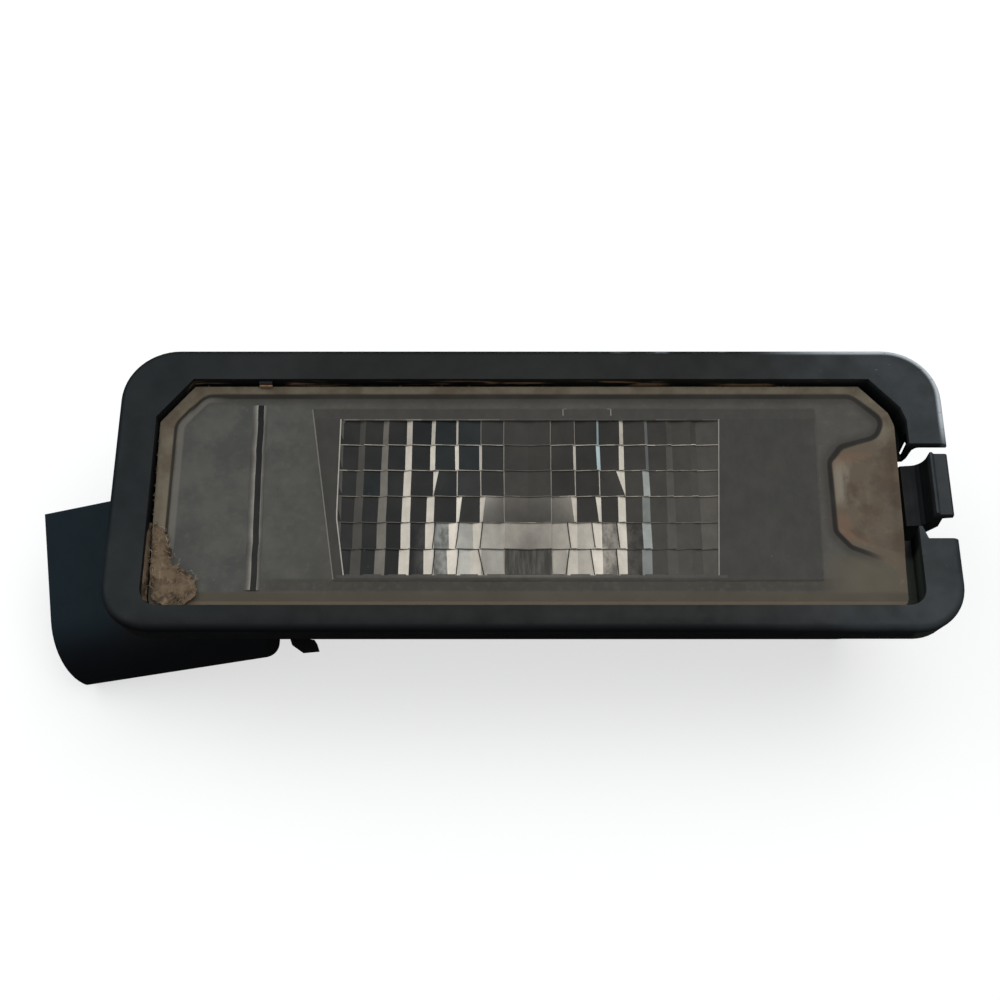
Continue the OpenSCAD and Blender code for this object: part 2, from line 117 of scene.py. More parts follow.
# Low pad round the prisms
PAD_TOP = FIELD_HALF_H + 1.05
PAD_LOW = -FIELD_HALF_H - 0.4
PAD_Z = BACK + 0.1
PAD_BORDER = 0.11

# Camera that fits the photograph, and the width of the film that its lens is given for
ELEVATION = 65
CAMERA_PLACE = (-2.90, -64.65, 138.71)
FOCAL = 59.4
FILM = 36


def lerp(a, b, t):
    return a + (b - a) * t


def clamp(v, low=0.0, high=1.0):
    return max(low, min(high, v))


def smooth(low, high, v):
    t = clamp((v - low) / (high - low))
    return t * t * (3 - 2 * t)


def bump_at(v, centre, width):
    """1 at the centre, falling off like a bell."""
    return math.exp(-(((v - centre) / width) ** 2))


def wobble(x, y, z, scale=1):
    """Smooth noise from -1 to 1 at a place."""
    return noise.noise(Vector((x, y, z)) * scale)


def linear(grey):
    """Linear light of an sRGB value from 0 to 255."""
    c = grey / 255
    return c / 12.92 if c <= 0.04045 else ((c + 0.055) / 1.055) ** 2.4


def rgb(r, g, b):
    return (linear(r), linear(g), linear(b), 1.0)


def raised(v):
    """Where a point at the lens's back is seen."""
    x, y, z = v
    return (x * RAISED_SCALE + RAISED_SHIFT_X, y * RAISED_SCALE + RAISED_SHIFT_Y, z + RISE)


def put_in_scene(name, data):
    obj = bpy.data.objects.new(name, data)
    bpy.context.scene.collection.objects.link(obj)
    return obj


def mesh(name, verts, faces, material, smooth_shade=False):
    """Object of that name from points in millimetres."""
    data = bpy.data.meshes.new(name)
    data.from_pydata([Vector(v) * MM for v in verts], [], faces)
    data.validate()
    obj = put_in_scene(name, data)
    data.materials.append(material)
    for p in data.polygons:
        p.use_smooth = smooth_shade
    return obj


def piece(obj):
    """Rides on the root."""
    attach(obj, "root")


def store(obj, name, where, values):
    """Stores one number a face or point, which a material reads."""
    layer = obj.data.attributes.new(name, "FLOAT", where)
    layer.data.foreach_set("value", values)


def bevel(obj, width, segments):
    """Rounds the edges that turn by more than 40 degrees."""
    m = obj.modifiers.new("edge", "BEVEL")
    m.width = width * MM
    m.segments = segments
    m.limit_method = "ANGLE"
    m.angle_limit = math.radians(40)
    m.harden_normals = False


class Nodes:
    """Node tree of a material or a world, built by short calls."""

    def __init__(self, owner):
        owner.use_nodes = True
        self.owner = owner
        self.tree = owner.node_tree
        self.tree.nodes.clear()

    def new(self, kind, **values):
        return self.fill(self.tree.nodes.new("ShaderNode" + kind), values)

    def link(self, a, b):
        self.tree.links.new(a, b)

    def put(self, value, socket):
        """Links a socket or sets a plain value."""
        if isinstance(value, bpy.types.NodeSocket):
            self.link(value, socket)
        else:
            socket.default_value = value

    def fill(self, node, values):
        """Links or sets inputs of a node by their names."""
        for name, value in values.items():
            self.put(value, node.inputs[name.replace("_", " ")])
        return node

    def part(self, vector, which):
        return self.new("SeparateXYZ", Vector=vector).outputs[which]

    def math(self, kind, a, b=0.5):
        n = self.new("Math")
        n.operation = kind
        self.put(a, n.inputs[0])
        self.put(b, n.inputs[1])
        return n.outputs[0]

    def choose(self, factor, a, b, output):
        """Ends in shader a where the factor is 0 and in shader b where it is 1."""
        n = self.new("MixShader", Fac=factor)
        self.link(a.outputs[0], n.inputs[1])
        self.link(b.outputs[0], n.inputs[2])
        self.link(n.outputs[0], self.new(output).inputs["Surface"])


class Look(Nodes):
    """A material with one shader, and the patterns that its inputs are made of."""

    def __init__(self, name):
        super().__init__(bpy.data.materials.new(name))
        self.shader = self.new("BsdfPrincipled")
        self.link(self.shader.outputs[0], self.new("OutputMaterial").inputs["Surface"])
        self.geometry = self.new("NewGeometry")
        self.place = self.geometry.outputs["Position"]

    def set(self, **values):
        self.fill(self.shader, values)

    def scaled(self, x, y, z):
        """The place, stretched along each axis, in one unit a millimetre."""
        n = self.new("VectorMath", Vector=self.place)
        n.operation = "MULTIPLY"
        n.inputs[1].default_value = (x / MM, y / MM, z / MM)
        return n.outputs[0]

    def noise(self, scale, detail=3.0, stretch=(1, 1, 1), rough=0.55):
        """Noise from 0 to 1; scale is its features per millimetre."""
        n = self.new("TexNoise", Vector=self.scaled(*stretch), Scale=scale, Detail=detail, Roughness=rough)
        return n.outputs["Fac"]

    def specks(self, scale):
        """Distance to the nearest of scattered points."""
        return self.new("TexVoronoi", Vector=self.scaled(1, 1, 1), Scale=scale).outputs["Distance"]

    def axis(self, which):
        """One coordinate of the place, in millimetres."""
        return self.part(self.scaled(1, 1, 1), which)

    def facing(self, which):
        """One coordinate of the surface's normal."""
        return self.part(self.geometry.outputs["Normal"], which)

    def attribute(self, name):
        n = self.new("Attribute")
        n.attribute_name = name
        return n.outputs["Fac"]

    def both(self, *values):
        """Product of several masks."""
        result = values[0]
        for v in values[1:]:
            result = self.math("MULTIPLY", result, v)
        return result

    def step(self, value, low, high, to_low=0.0, to_high=1.0):
        """Smooth step of a value from one range to another."""
        n = self.new("MapRange", Value=value, From_Min=low, From_Max=high, To_Min=to_low, To_Max=to_high)
        n.interpolation_type = "SMOOTHSTEP"
        return n.outputs["Result"]

    def band(self, value, low, high, soft):
        """1 between low and high, fading out over soft on both sides."""
        return self.both(self.step(value, low - soft, low), self.step(value, high + soft, high))

    def mix(self, fac, a, b, kind="MIX"):
        n = self.new("Mix")
        n.data_type = "RGBA"
        n.blend_type = kind
        return self.fill(n, {"Factor": fac, "A": a, "B": b}).outputs["Result"]

    def grey(self, value):
        """A grey colour of that linear value."""
        return self.new("CombineColor", Red=value, Green=value, Blue=value).outputs[0]

    def bumps(self, height, depth, strength=1.0):
        """Adds relief; depth is in millimetres."""
        n = self.new("Bump", Strength=strength, Distance=depth * MM, Height=height)
        old = self.shader.inputs["Normal"]
        if old.is_linked:
            self.link(old.links[0].from_socket, n.inputs["Normal"])
        self.link(n.outputs[0], old)


def window_mask(m):
    """1 on what lies within the bezel's window, but not at its right end."""
    x, y = m.axis("X"), m.axis("Y")
    across = m.band(x, lens_low.x - 0.6, lens_high.x - 6, 0.3)
    along = m.band(y, lens_low.y - 0.6, lens_high.y + 0.5, 0.3)
    return m.both(across, along)


def plastic_tone(m, x, y, z):
    """Black plastic, cooler at the connector, with painted shade on its turned-down sides, lower bar and
    latch, a painted sheen at the right and painted light on the ledge; steps are places in millimetres.
    """
    cloud = m.noise(0.12, 4)
    base = m.mix(m.step(x, -8, -36), rgb(19, 20, 19), rgb(17, 22, 24))
    base = m.mix(m.step(x, -37, -40), base, rgb(12, 27, 34))
    base = m.mix(m.both(m.step(cloud, 0.4, 0.7), m.step(z, 2.6, 3.4), 0.22), base, rgb(46, 48, 47))
    # Painted shade: sides turned down to the front are darker, most of all on the connector
    turned = m.both(m.step(m.facing("Y"), -0.35, -0.8), m.step(x, 6, -10))
    base = m.mix(m.both(turned, 0.8), base, rgb(9, 9, 14))
    # Painted shade on the lower bar, darker towards its outer edge
    base = m.mix(m.step(y, -12.6, -13.9), base, rgb(5, 6, 9))
    # Painted sheen on the face of the bezel at its right, mottled by noise
    face = m.both(m.step(z, 2.6, 3.5), m.step(x, 14, 36))
    base = m.mix(m.both(face, m.step(m.noise(0.3, 4), 0.3, 0.7, 0.4, 0.75)), base, rgb(54, 59, 62))
    # Painted shade in the deep parts of the latch and its opening, and the greenish ledge below it,
    # lightened with painted light where its wall lies in shadow
    latch_painted_shade = m.both(m.step(x, lens_high.x + 0.4, lens_high.x + 0.9), m.step(z, 2.6, 1.2))
    base = m.mix(latch_painted_shade, base, rgb(6, 8, 12))
    ledge_painted_light = m.both(m.step(x, lens_high.x - 0.3, lens_high.x), m.step(y, -5.6, -6.4), m.step(z, 3.1, 2.5))
    return m.mix(ledge_painted_light, base, rgb(50, 56, 49))


def plastic_wear_and_highlight(m, base, x, y, z):
    """Painted highlight along the outer edge of the bezel's upper right corner, scuffs near it and pale
    dots.
    """
    scuff_and_highlight_noise = m.noise(1.6, 5, (1.0, 2.4, 1.0), 0.7)
    corner = m.both(m.step(x, 20, 32), m.step(y, 3, 7), m.step(z, 2.5, 2.9))
    past_x = m.math("MAXIMUM", m.math("SUBTRACT", x, BEZEL_HALF - CORNER_R), 0.0)
    past_y = m.math("MAXIMUM", m.math("SUBTRACT", y, BEZEL_TOP - CORNER_R), 0.0)
    outward = m.math("SQRT", m.math("ADD", m.both(past_x, past_x), m.both(past_y, past_y)))
    # Painted highlight along the rounded outer edge of the corner, broken by noise
    edge = m.both(corner, m.step(outward, CORNER_R - 0.75, CORNER_R - 0.3), m.step(scuff_and_highlight_noise, 0.25, 0.45))
    base = m.mix(m.both(edge, 0.9), base, rgb(200, 207, 212))
    rub = m.noise(0.45, 4, (0.6, 1.0, 1.0), 0.6)
    top_edge = m.both(m.step(x, 2, 16), m.step(y, BEZEL_TOP - 0.6, BEZEL_TOP - 0.2), m.step(rub, 0.52, 0.64))
    base = m.mix(m.both(top_edge, m.step(z, 2.5, 2.9), 0.5), base, rgb(170, 176, 180))
    scuff = m.both(corner, m.step(z, 3.2, 3.5), m.step(scuff_and_highlight_noise, 0.67, 0.74))
    base = m.mix(m.both(scuff, 0.5), base, rgb(160, 166, 168))
    dots = m.both(m.step(m.specks(0.5), 0.05, 0.02), m.step(m.noise(0.35, 2), 0.5, 0.75), m.step(z, 2, 3))
    return m.mix(m.both(dots, 0.35), base, rgb(120, 118, 110))


def plastic_dirt(m, base, y, z):
    """Brown dirt at the foot of the window's walls, and brown streaks along its upper wall."""
    low = m.both(m.step(z, FRONT - 0.1, FRONT - 0.9), m.step(z, -0.3, 0.1), window_mask(m))
    dirt = m.both(low, m.step(m.noise(0.8, 4), 0.44, 0.62))
    base = m.mix(m.both(dirt, 0.7), base, rgb(66, 50, 37))
    wall = m.both(m.step(m.facing("Y"), -0.5, -0.8), m.step(y, lens_high.y - 1, lens_high.y), window_mask(m))
    streak = m.step(m.noise(0.7, 3, (0.22, 1.0, 2.4), 0.6), 0.5, 0.6)
    streak = m.both(streak, m.step(m.noise(0.1, 1), 0.38, 0.5), m.band(z, FRONT - 0.6, FRONT + 0.5, 0.3))
    return m.mix(m.both(wall, streak, 0.75), base, rgb(136, 108, 80))


def black_plastic():
    m = Look("housing_plastic_look")
    x, y, z = m.axis("X"), m.axis("Y"), m.axis("Z")
    base = plastic_tone(m, x, y, z)
    base = plastic_wear_and_highlight(m, base, x, y, z)
    base = plastic_dirt(m, base, y, z)
    rough = m.step(m.noise(0.5, 4), 0.3, 0.75, 0.46, 0.62)
    m.set(Base_Color=base, Roughness=rough, Specular_IOR_Level=0.16)
    m.bumps(m.noise(5.5, 3), 0.012, 0.5)
    m.bumps(m.noise(0.25, 3), 0.05, 0.25)
    return m.owner


def lens_plate_look():
    """Clear plastic front under a thin uneven film of dust."""
    m = Look("lens_plate_look")
    film = m.step(m.noise(0.22, 5), 0.35, 0.75, 0.01, 0.045)
    dots = m.both(m.step(m.specks(1.3), 0.12, 0.04), m.step(m.noise(0.5, 2), 0.52, 0.7), 0.22)
    fibre = m.step(m.noise(0.9, 2, (1.0, 9.0, 1.0)), 0.74, 0.8, 0.0, 0.08)
    haze = m.math("ADD", m.math("ADD", film, dots), fibre)
    colour = m.mix(m.noise(0.3, 3), rgb(118, 114, 106), rgb(150, 143, 130))
    m.set(Base_Color=colour, Alpha=haze, Roughness=0.3, IOR=1.58, Specular_IOR_Level=0.5)
    m.bumps(m.noise(1.5, 3), 0.01, 0.4)
    return m.owner


def frosted_inside(m, x, y, mottle, fine):
    """Frosted grey, warmer in the middle, with a dark band below the prisms and a tan lower right corner."""
    inside = m.mix(m.step(mottle, 0.3, 0.7), rgb(62, 63, 60), rgb(76, 75, 71))
    warm = m.mix(mottle, rgb(58, 56, 52), rgb(74, 71, 65))
    inside = m.mix(m.both(m.step(x, -24, -16), 0.7), inside, warm)
    under = m.both(m.band(y, -9.75, -8.9, 0.3), m.step(x, -27, -22), m.step(x, 30, 26))
    inside = m.mix(m.both(under, 0.7), inside, rgb(54, 50, 43))
    inside = m.mix(m.both(m.step(fine, 0.45, 0.8), 0.3), inside, rgb(92, 88, 80))
    tan = m.mix(mottle, rgb(76, 69, 57), rgb(88, 82, 70))
    return m.mix(m.both(m.step(x, 24, 30), m.step(y, -5.4, -7.4)), inside, tan)


def dusty_outside(m, x, y, away, mottle, fine):
    """Tan dust outside the seal, redder beside the latch, with a painted shine in streaks there."""
    outside = m.mix(m.step(mottle, 0.35, 0.65), rgb(86, 75, 61), rgb(106, 97, 82))
    patch = m.mix(m.step(m.noise(0.18, 3), 0.4, 0.6), rgb(88, 76, 62), rgb(84, 77, 66))
    ends = m.math("MAXIMUM", m.band(y, 2.2, 3.4, 0.8), m.band(y, -4.6, -3, 1.2))
    reddish = m.both(m.band(away, -1.5, -0.6, 0.7), ends, m.step(x, 33, 31))
    patch = m.mix(m.both(reddish, 0.55), patch, rgb(106, 81, 63))
    # Painted shine in streaks beside the latch
    streak = m.step(m.noise(0.3, 3, (2.2, 0.7, 1.0), 0.6), 0.4, 0.62)
    shine = m.both(streak, m.band(x, 28.2, 30.2, 1.0), m.band(y, -0.6, 2.2, 1.6))
    patch = m.mix(m.both(shine, 0.7), patch, rgb(126, 119, 106))
    outside = m.mix(m.both(m.step(x, 25, 28), m.step(y, 6.5, 4)), outside, patch)
    return m.mix(m.both(m.step(fine, 0.55, 0.75), 0.2), outside, rgb(126, 115, 98))


def seal_line(m, colour, x, y, away):
    """Dark line of the seal with a soft shade inside it, thin at the left and lost below."""
    pocket = m.both(m.step(x, 22, 24), m.step(y, 5, 3))
    line_at = m.math("ADD", away, m.both(pocket, 0.28))
    core = m.band(line_at, -0.24, 0.02, 0.22)
    shade = m.both(m.step(line_at, -0.3, 0), m.step(line_at, 1.1, 0.1), 0.6)
    thin = m.band(away, -0.36, -0.22, 0.16)
    lost = m.both(m.step(x, 29.5, 32), m.step(y, -5, -7))
    kept = m.both(m.step(y, -9.6, -8.6), m.math("SUBTRACT", 1.0, lost))
    at_left = m.step(x, -31.4, -32)
    beyond = m.math("SUBTRACT", 1.0, at_left)
    colour = m.mix(m.both(shade, kept, beyond), colour, rgb(42, 39, 34))
    line = m.mix(at_left, m.grey(core), m.grey(thin))
    crisp = m.both(m.step(x, 23, 27), m.step(y, 10, 7))
    return m.mix(m.both(line, kept, 0.95), colour, m.mix(crisp, rgb(24, 20, 14), rgb(10, 9, 8)))


def lens_skin_look():
    """Back of the lens: frosted inside the seal, the seal's dark line, dust outside it."""
    m = Look("lens_skin_look")
    x, y = m.axis("X"), m.axis("Y")
    away = m.attribute("seal_distance")
    mottle = m.noise(0.35, 5)
    fine = m.noise(1.6, 4)
    outside = dusty_outside(m, x, y, away, mottle, fine)
    inside = frosted_inside(m, x, y, mottle, fine)
    colour = m.mix(m.step(away, -0.45, 0.2), outside, inside)
    # Tan dust along the lower edge, with a light line at its foot
    low = m.step(y, -9.85, -10.25)
    colour = m.mix(low, colour, m.mix(mottle, rgb(66, 59, 48), rgb(78, 71, 59)))
    colour = m.mix(m.both(m.band(y, -11.15, -10.95, 0.12), 0.4), colour, rgb(108, 95, 78))
    colour = seal_line(m, colour, x, y, away)
    # Narrow light band just inside the line at the left
    halo = m.both(m.band(away, 0.1, 0.4, 0.22), m.step(x, -28, -31), m.step(y, -9.5, -8))
    colour = m.mix(m.both(halo, 0.5), colour, rgb(108, 104, 96))
    # Dark foot beside the window's wall
    foot = m.step(away, -1.25, -1.6)
    colour = m.mix(m.both(foot, m.step(mottle, 0.42, 0.6), 0.5), colour, rgb(60, 44, 32))
    m.set(Base_Color=colour, Roughness=0.55, Specular_IOR_Level=0.15)
    m.bumps(fine, 0.03, 0.4)
    return m.owner


def prism_look(name, kind="calm", warm=rgb(255, 244, 228)):
    """Prism faces: the tone stored on them is painted light and shade, how light they are on a screen from 0
    to 1, bright where the lit lamp is seen through them.
    """
    m = Look(name)
    tone = m.attribute("tone")
    tint = m.attribute("tint")
    grain = m.noise(0.9, 4, (1.0, 0.6, 1.0), 0.65)
    if kind == "streaked":
        swing = m.step(m.noise(3.4, 3, (1.0, 0.1, 1.0)), 0.36, 0.66, 0.74, 1.12)
    elif kind == "mottled":
        swing = m.step(grain, 0.36, 0.66, 0.7, 1.1)
    else:
        swing = m.step(grain, 0.3, 0.7, 0.95, 1.05)
    level = m.math("POWER", m.both(tone, swing), 2.2)
    colour = m.mix(level, rgb(6, 7, 8), warm)
    colour = m.mix(tint, colour, m.mix(1.0, colour, rgb(170, 222, 250), "MULTIPLY"))
    m.set(Base_Color=colour, Roughness=0.4, Specular_IOR_Level=0.12)
    m.bumps(grain, 0.02, 0.3)
    return m.owner


def rubber_look():
    m = Look("seal_rubber_look")
    colour = m.mix(m.noise(1.2, 4), rgb(20, 20, 20), rgb(44, 41, 37))
    m.set(Base_Color=colour, Roughness=0.75)
    m.bumps(m.noise(4.0, 3), 0.02, 0.5)
    return m.owner


def reflector_look():
    m = Look("reflector_plastic_look")
    colour = m.mix(m.step(m.noise(0.3, 4), 0.35, 0.7), rgb(222, 220, 210), rgb(196, 186, 164))
    m.set(Base_Color=colour, Roughness=0.3, Coat_Weight=0.3)
    m.bumps(m.noise(0.8, 2), 0.03, 0.3)
    return m.owner


def glass_look():
    """Bulb glass, with a grey bloom round the filament."""
    m = Look("bulb_glass_look")
    bloom = m.step(m.noise(0.35, 3), 0.35, 0.75, 0.12, 0.35)
    m.set(Base_Color=m.mix(bloom, rgb(235, 238, 238), rgb(120, 118, 112)), Alpha=bloom)
    m.set(Roughness=0.05, IOR=1.5)
    m.bumps(m.noise(0.6, 2), 0.02, 0.2)
    return m.owner


def metal_look(name, dark, light, roughness, turned=(1, 1, 1)):
    """Metal with a tarnish cloud and fine marks along one direction."""
    m = Look(name)
    tarnish = m.step(m.noise(0.5, 5), 0.35, 0.7)
    marks = m.noise(3.0, 3, turned)
    m.set(Base_Color=m.mix(tarnish, light, dark), Metallic=1.0)
    m.set(Roughness=m.step(marks, 0.3, 0.7, roughness - 0.08, roughness + 0.12))
    m.bumps(marks, 0.01, 0.4)
    return m.owner


def cement_look():
    m = Look("cement_look")
    colour = m.mix(m.noise(1.5, 4), rgb(196, 184, 148), rgb(160, 148, 118))
    m.set(Base_Color=colour, Roughness=0.85)
    m.bumps(m.noise(3.0, 4), 0.08, 0.6)
    return m.owner


def dust_look(name, dark, light):
    m = Look(name)
    grain = m.noise(2.6, 5, rough=0.7)
    colour = m.mix(m.step(grain, 0.35, 0.68), dark, light)
    m.set(Base_Color=colour, Roughness=0.95, Specular_IOR_Level=0.1)
    m.bumps(grain, 0.15, 0.8)
    return m.owner


def felt_look(name):
    """Felted dust: tan clouds, darker hollows and pale threads."""
    m = Look(name)
    cloud = m.noise(0.5, 4, rough=0.65)
    thread = m.noise(1.3, 5, (1.0, 0.4, 1.0), 0.7)
    colour = m.mix(m.step(cloud, 0.38, 0.6), rgb(58, 47, 38), rgb(103, 88, 72))
    colour = m.mix(m.both(m.step(thread, 0.5, 0.66), 0.7), colour, rgb(128, 111, 92))
    colour = m.mix(m.both(m.step(thread, 0.66, 0.76), 0.7), colour, rgb(164, 147, 126))
    m.set(Base_Color=colour, Roughness=0.95, Specular_IOR_Level=0.05)
    m.bumps(thread, 0.18, 0.8)
    return m.owner


def dress(node, material):
    """Gives every material slot of a CAD node the same look."""
    obj = frame["nodes"][node]
    for s in obj.material_slots:
        s.material = material
    if not obj.material_slots:
        obj.data.materials.append(material)


def dress_cad():
    """Procedural looks for the CAD nodes that stay."""
    cap = metal_look("bulb_cap_look", rgb(120, 114, 100), rgb(196, 194, 186), 0.3, (0.2, 1, 1))
    solder = metal_look("solder_look", rgb(120, 120, 118), rgb(180, 180, 178), 0.38)
    lead = metal_look("lead_wire_look", rgb(120, 112, 100), rgb(170, 165, 156), 0.4)
    sheet = metal_look("contact_sheet_look", rgb(150, 128, 84), rgb(204, 184, 136), 0.34, (0.15, 1, 1))
    cement = cement_look()
    dress("housing", black_plastic())
    dress("lens_seal", rubber_look())
    dress("reflector", reflector_look())
    dress("bulb_glass", glass_look())
    dress("bulb_filament", metal_look("filament_look", rgb(60, 58, 58), rgb(110, 108, 106), 0.45))
    for side in ("left", "right"):
        dress("bulb_lead_" + side, lead)
        dress("bulb_cement_" + side, cement)
        dress("bulb_cap_" + side, cap)
        dress("bulb_solder_" + side, solder)
        dress("contact_" + side, sheet)


def arc(cx, cy, r, a0, a1, n):
    """Points of an arc, angles in degrees."""
    angles = [math.radians(lerp(a0, a1, i / n)) for i in range(n + 1)]
    return [(cx + r * math.cos(a), cy + r * math.sin(a)) for a in angles]


def lens_outline(shrink=0.0):
    """Outline of the lens, anticlockwise from the lower left corner, cut at its two upper corners."""
    left, right = lens_low.x + shrink, lens_high.x - shrink
    bottom, top = lens_low.y + shrink, lens_high.y - shrink
    taper, cut_x, cut_y, r = 0.35, 3.0, 3.75, 1.0
    points = arc(left + taper + r, bottom + r, r, 180, 270, 5)
    points += arc(right - taper - r, bottom + r, r, 270, 360, 5)
    points += [(right, top - cut_y - 0.4), (right - 0.45, top - cut_y + 0.95), (right - cut_x, top)]
    points += [(left + cut_x, top), (left, top - cut_y)]
    return points


def block(name, outline, z0, z1, material):
    """Closed plate of that outline."""
    n = len(outline)
    verts = [(x, y, z0) for x, y in outline] + [(x, y, z1) for x, y in outline]
    faces = [tuple(range(n))[::-1], tuple(range(n, 2 * n))]
    faces += [(i, (i + 1) % n, (i + 1) % n + n, i + n) for i in range(n)]
    return mesh(name, verts, faces, material)


def round_corner(a, b, c, r):
    """Points that round the corner b between a and c."""
    n = 4
    u, v = (a - b).normalized(), (c - b).normalized()
    angle = u.angle(v)
    cut = min(r / math.tan(angle / 2), (a - b).length * 0.45, (c - b).length * 0.45)
    p, q = b + u * cut, b + v * cut
    return [p * (1 - t) ** 2 + b * 2 * t * (1 - t) + q * t * t for t in (i / n for i in range(n + 1))]


def seal_path():
    """Line of the seal, rounded at its corners, with the step round the latch."""
    corners = [
        (SEAL_LEFT, SEAL_BOTTOM),
        (SEAL_RIGHT, SEAL_BOTTOM),
        (SEAL_RIGHT, SLOT_BOTTOM - 0.41 * SEAL_BELOW),
        (POCKET + 0.3, SLOT_BOTTOM - 0.05),
        (POCKET - 1.15, SLOT_BOTTOM + 1.7),
        (POCKET - 1.15, SLOT_TOP - 0.3),
        (POCKET + 0.35, SLOT_TOP + 0.18 * SEAL_ABOVE),
        (SEAL_RIGHT - 0.7, SLOT_TOP + 0.34 * SEAL_ABOVE),
        (SEAL_RIGHT, SLOT_TOP + 0.6 * SEAL_ABOVE),
        (SEAL_RIGHT - 2.6, SEAL_TOP),
        (SEAL_LEFT + 2.35, SEAL_TOP),
        (SEAL_LEFT, SEAL_TOP - 2.85),
    ]
    points = [Vector(c) for c in corners]
    n = len(points)
    path = []
    for i, p in enumerate(points):
        path += round_corner(points[i - 1], p, points[(i + 1) % n], 1.3)
    return path


def grid_faces(nx, ny):
    """Quads of a grid with nx by ny fields, row by row."""
    starts = [j * (nx + 1) + i for j in range(ny) for i in range(nx)]
    return [(a, a + 1, a + nx + 2, a + nx + 1) for a in starts]


def signed_distance(p, path):
    """Distance from p to a closed path, above 0 inside it."""
    best = 1e9
    inside = False
    for i, b in enumerate(path):
        a = path[i - 1]
        ab, ap = b - a, p - a
        t = clamp(ap.dot(ab) / ab.length_squared)
        best = min(best, (ap - ab * t).length)
        if (a.y > p.y) != (b.y > p.y) and p.x < (b.x - a.x) * (p.y - a.y) / (b.y - a.y) + a.x:
            inside = not inside
    return best if inside else -best


def span(outline, y):
    """Where a level line crosses the outline: its left and right ends."""
    xs = []
    n = len(outline)
    for i in range(n):
        (x0, y0), (x1, y1) = outline[i], outline[(i + 1) % n]
        if min(y0, y1) <= y <= max(y0, y1) and y0 != y1:
            xs.append(lerp(x0, x1, (y - y0) / (y1 - y0)))
    return min(xs), max(xs)


def lens_skin(material):
    """Fine sheet that shows the lens's back, open at the prisms, with the dust and the seal's shadow."""
    outline = lens_outline(0.03)
    ys = [y for x, y in outline]
    low, high = min(ys), max(ys)
    nx, ny = 260, 88
    path = [Vector(raised((p.x, p.y, 0))[:2]) for p in seal_path()]
    rim = [Vector(p) for p in outline]
    hole_x, hole_y, hole_z = raised((FIELD_HALF_W - 0.1, FIELD_HALF_H - 0.1, BACK))
    hole_low = raised((0, -FIELD_HALF_H + 0.1, 0))[1]
    verts, away = [], []
    for j in range(ny + 1):
        y = lerp(low + 0.001, high - 0.001, j / ny)
        left, right = span(outline, y)
        for i in range(nx + 1):
            x = lerp(left, right, i / nx)
            d = signed_distance(Vector((x, y)), path)
            dent = 0.02 * wobble(x, y, 0, 0.35)
            z = hole_z - 0.06 + 0.05 * smooth(-0.8, 0.8, d) + dent
            at_rim = smooth(0.9, 0.05, signed_distance(Vector((x, y)), rim)) * smooth(-8, -4, y)
            verts.append((x, y, lerp(z, FRONT - 0.05, at_rim)))
            away.append(d)
    faces = []
    for face in grid_faces(nx, ny):
        (xa, ya, _), (xb, yb, _) = verts[face[0]], verts[face[2]]
        cx, cy = (xa + xb) / 2, (ya + yb) / 2
        if abs(cx) > hole_x or cy > hole_y or cy < hole_low:
            faces.append(face)
    obj = mesh("lens_back_skin", verts, faces, material, True)
    store(obj, "seal_distance", "POINT", away)
    piece(obj)


def field_x(k, v):
    """Column line k at depth v down the field, from 0 at its top to 1."""
    x = -FIELD_HALF_W + k * PITCH_X
    x -= COLUMN_DRIFT * (smooth(COLUMNS, COLUMNS - 4, k) + bump_at(k, 8.5, 3.5))
    if k == 0:
        x += KINK * clamp((v - KINK_FROM) / (1 - KINK_FROM))
    if k == COLUMNS:
        x -= KINK * v
    return x


def field_y(v):
    """Height at depth v down the field."""
    return lerp(FIELD_HALF_H, -FIELD_HALF_H, v)


def riser_widths(k, r):
    """Upper and lower width of the face left of a column line that is painted bright with the lamp's light.
    """
    m = abs(k - MIDDLE)
    v = r / (ROWS - 1)
    if m == 0:
        return 0.0, 0.0
    if m == 1:
        wide = 0.4 if r == ROWS - 2 and k < MIDDLE else 0.1
        return wide, wide * 0.8
    if k == MIDDLE + 5:
        wide = 0.27 if r < 2 else lerp(0.42, 0.92, v)
        return wide, wide
    if m >= 5:
        wide = lerp(0.52, 0.95, v)
        return wide, wide
    if m == 4:
        wide = lerp(0.36, 0.92, v)
        if r == 2:
            return (0.5 if k < MIDDLE else 0.8), 0.06
        return wide, wide
    if r == 2:
        return 0.11, 0.09
    if r == 3:
        return 0.52, 0.24
    wide = lerp(0.2 if m == 3 else 0.07, 1.0, v)
    return wide, wide * 0.9


def riser_tone(k, r):
    """How light a riser looks, as painted light: the lamp's image shows in those near the middle and hardly
    at the right end.
    """
    tones = {7: 0.265, 6: 0.42, 5: 0.76, 4: 0.79, 3: 0.84, 2: 0.74, 1: 0.62}
    right_end = {7: 0.25, 6: 0.29}
    window = (0.42, 0.42, 0.66, 0.5, 0.66, 0.52)
    m = abs(k - MIDDLE)
    if k == MIDDLE + 5:
        return window[r]
    tone = right_end.get(m, tones[m]) if k > MIDDLE else tones[m]
    return tone * (0.86 if r == 0 else 1.0)


def cell_base(c, r):
    """How light a prism is away from the lamp's image: darkest at the left."""
    base = 0.125 + 0.015 * smooth(3, 5, c) + 0.05 * bump_at(c, 7.5, 2)
    base += 0.05 * smooth(10, 12, c) + 0.07 * smooth(13, 15, c)
    base -= 0.035 * bump_at(c, 2.5, 1.3)
    if c in (5, 7, 8) and r == 2:
        return base + 0.03
    return base + (0.01 * r if c > 11 else 0.0)


